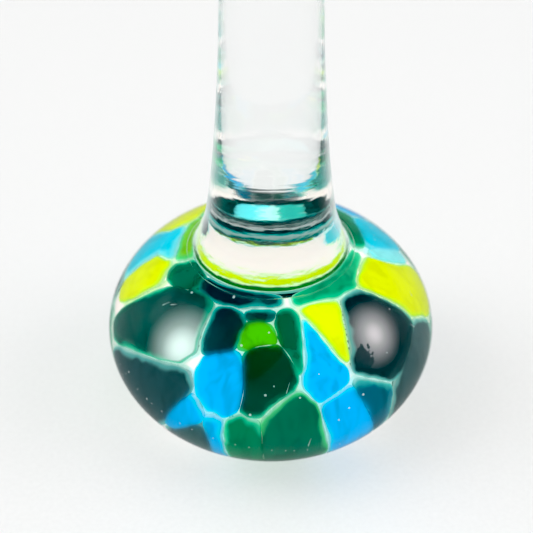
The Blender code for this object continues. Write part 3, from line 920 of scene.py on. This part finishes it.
def build_threads():
    work = bmesh.new()
    for angles, lean, length in THREADS:
        middle = base_point(*angles, BUBBLE_DEPTH)
        rise = (middle.z - BASE_CENTRE) * (BASE_RADIUS / BASE_HALF) ** 2
        out = Vector((middle.x, middle.y, rise)).normalized()
        east = Vector((0.0, 0.0, 1.0)).cross(out).normalized()
        along = Matrix.Rotation(math.radians(lean), 3, out) @ east
        turn = along.to_track_quat("Z", "Y").to_matrix().to_4x4()
        bmesh.ops.create_cone(
            work, cap_ends=True, segments=8, radius1=THREAD_RADIUS, radius2=THREAD_RADIUS / 3,
            depth=length, matrix=Matrix.Translation(middle) @ turn)
    add_inclusions("trapped_threads", work)


def add_inclusions(name, work):
    add_piece(name, finished_mesh(name, work, [bubble_glass(name + "_glass")]))


# ---------------------------------------------------------------- stage

# A pale table, sunk a hair under the foot. Where it is seen mirrored in the glass, it is painted darker,
# to dim its reflection.
TABLE_HALF_SIZE = 3.0
TABLE_DROP = 0.15 * MM
TABLE_GRAIN = 900.0
TABLE_COLOURS = ((0.74, 0.74, 0.735), (0.80, 0.80, 0.795))
TABLE_MIRRORED = (0.34, 0.34, 0.34)


def mirrored_ray(tree):
    """1 where a surface is seen mirrored in another, 0 where it is seen directly or through glass."""
    path = add(tree, "ShaderNodeLightPath")
    glossy, through = path.outputs["Is Glossy Ray"], path.outputs["Is Transmission Ray"]
    return math_node(tree, "SUBTRACT", glossy, through, clamped=True)


def build_floor():
    corners = [(x * TABLE_HALF_SIZE, y * TABLE_HALF_SIZE, -TABLE_DROP)
               for x, y in ((-1, -1), (1, -1), (1, 1), (-1, 1))]
    mesh = bpy.data.meshes.new("floor")
    mesh.from_pydata(corners, [], [(0, 1, 2, 3)])
    material, tree = new_material("floor")
    place = add(tree, "ShaderNodeTexCoord").outputs["Object"]
    grain = add(tree, "ShaderNodeTexNoise", {"Vector": place, "Scale": TABLE_GRAIN, "Detail": 3.0})
    colour = mix_colour(tree, grain.outputs["Fac"], *TABLE_COLOURS)
    # Painted reflection: darker where the table is seen in the glass.
    colour = mix_colour(tree, mirrored_ray(tree), colour, TABLE_MIRRORED)
    finish(tree, add(tree, "ShaderNodeBsdfDiffuse", {"Color": colour}).outputs[0])
    mesh.materials.append(material)
    new_object("floor", mesh)


# Reflections in the outer glass are subdued, as behind a polarising filter.
MIRRORED_SHARE = 0.45

# The studio's grey by the upward part of the view, and its lamps: the way to each, the angles it
# fades out and in at, and its colour.
SKY = ((0.0, 0.92), (0.18, 0.80), (0.36, 0.42), (0.62, 0.14), (1.0, 0.10))
GLOWS = (
    ((-0.78, -0.04, 0.62), 30.0, 6.0, (2.4, 2.5, 2.5)),
    ((0.87, -0.06, 0.49), 28.0, 6.0, (2.0, 1.9, 1.95)),
)


def build_world():
    world = bpy.data.worlds.new("studio")
    bpy.context.scene.world = world
    world.use_nodes = True
    tree = world.node_tree
    tree.nodes.clear()
    way = add(tree, "ShaderNodeTexCoord").outputs["Generated"]
    rise = add(tree, "ShaderNodeSeparateXYZ", {0: way}).outputs["Z"]
    ramp = add(tree, "ShaderNodeValToRGB", {0: rise})
    stops = ramp.color_ramp.elements
    while len(stops) < len(SKY):
        stops.new(0.5)
    for stop, (height, grey) in zip(stops, SKY):
        stop.position = height
        stop.color = (grey, grey, grey, 1)
    total = ramp.outputs[0]
    for aim, outer, inner, colour in GLOWS:
        towards = tuple(Vector(aim).normalized())
        facing = add(tree, "ShaderNodeVectorMath", {0: way, 1: towards}, operation="DOT_PRODUCT")
        low, high = (math.cos(math.radians(angle)) for angle in (outer, inner))
        share = smooth_step(tree, facing.outputs["Value"], low, high)
        lamp = mix_colour(tree, share, (0.0, 0.0, 0.0), colour)
        both = add(tree, "ShaderNodeVectorMath", {0: total, 1: lamp}, operation="ADD")
        total = both.outputs["Vector"]
    strength = smooth_step(tree, mirrored_ray(tree), 0.0, 1.0, 1.0, MIRRORED_SHARE)
    sky = add(tree, "ShaderNodeBackground", {"Color": total, "Strength": strength})
    add(tree, "ShaderNodeOutputWorld", {"Surface": sky.outputs[0]})


def add_light(name, place, aim, size, power, shadow=True):
    """A round soft light that shines but is not seen in the glass."""
    light = bpy.data.lights.new(name, "AREA")
    light.shape = "DISK"
    light.size = size
    light.energy = power
    light.use_shadow = shadow
    lamp = new_object(name, light)
    lamp.location = place
    lamp.rotation_euler = (Vector(aim) - Vector(place)).to_track_quat("-Z", "Y").to_euler()
    lamp.visible_camera = False
    lamp.visible_glossy = False
    lamp.visible_transmission = False


def build_lights():
    """A lamp over the table casts the soft shadow. The two fills cast none."""
    add_light("table_light", (0.0, 0.35, 1.5), (0, 0.05, 0), 1.6, 4.0)
    add_light("table_fill", (0.0, 0.25, 1.5), (0, 0.05, 0), 1.6, 12.0, shadow=False)
    add_light("front_fill", (0.1, -1.3, 0.75), (0, 0, 0.03), 0.9, 8.5, shadow=False)


def build_camera():
    camera = bpy.data.cameras.new("camera")
    camera.lens = LENS
    camera.sensor_width = SENSOR
    camera.clip_start = 0.01
    rig = new_object("camera", camera)
    angle = math.radians(CAMERA_ELEVATION)
    back = Vector((0, -math.cos(angle), math.sin(angle)))
    rig.location = CAMERA_TARGET + back * CAMERA_DISTANCE
    rig.rotation_euler = (-back).to_track_quat("-Z", "Y").to_euler()
    focus = new_object("focus", None)
    focus.location = base_point(-90.0, 20.0, 0.0)
    camera.dof.use_dof = True
    camera.dof.focus_object = focus
    camera.dof.aperture_fstop = F_STOP
    bpy.context.scene.camera = rig


# A black point like a bright product shot's, and light paths long enough for nested glass.
BLACK_LEVEL = (0.035, 0.02, 0.02)
GLASS_BOUNCES = 32
CLEAR_PASSES = 64
MIRROR_BOUNCES = 8


def set_look():
    scene = bpy.context.scene
    scene.view_settings.view_transform = "Standard"
    scene.view_settings.use_curve_mapping = True
    scene.view_settings.curve_mapping.black_level = BLACK_LEVEL
    scene.cycles.max_bounces = GLASS_BOUNCES
    scene.cycles.transmission_bounces = GLASS_BOUNCES
    scene.cycles.transparent_max_bounces = CLEAR_PASSES
    scene.cycles.glossy_bounces = MIRROR_BOUNCES


build_clear_pieces(clear_glass("clear_glass"), fused_glass("fused_glass"))
build_foot_layers()
build_shards()
build_bubbles()
build_threads()
build_floor()
build_world()
build_lights()
build_camera()
set_look()
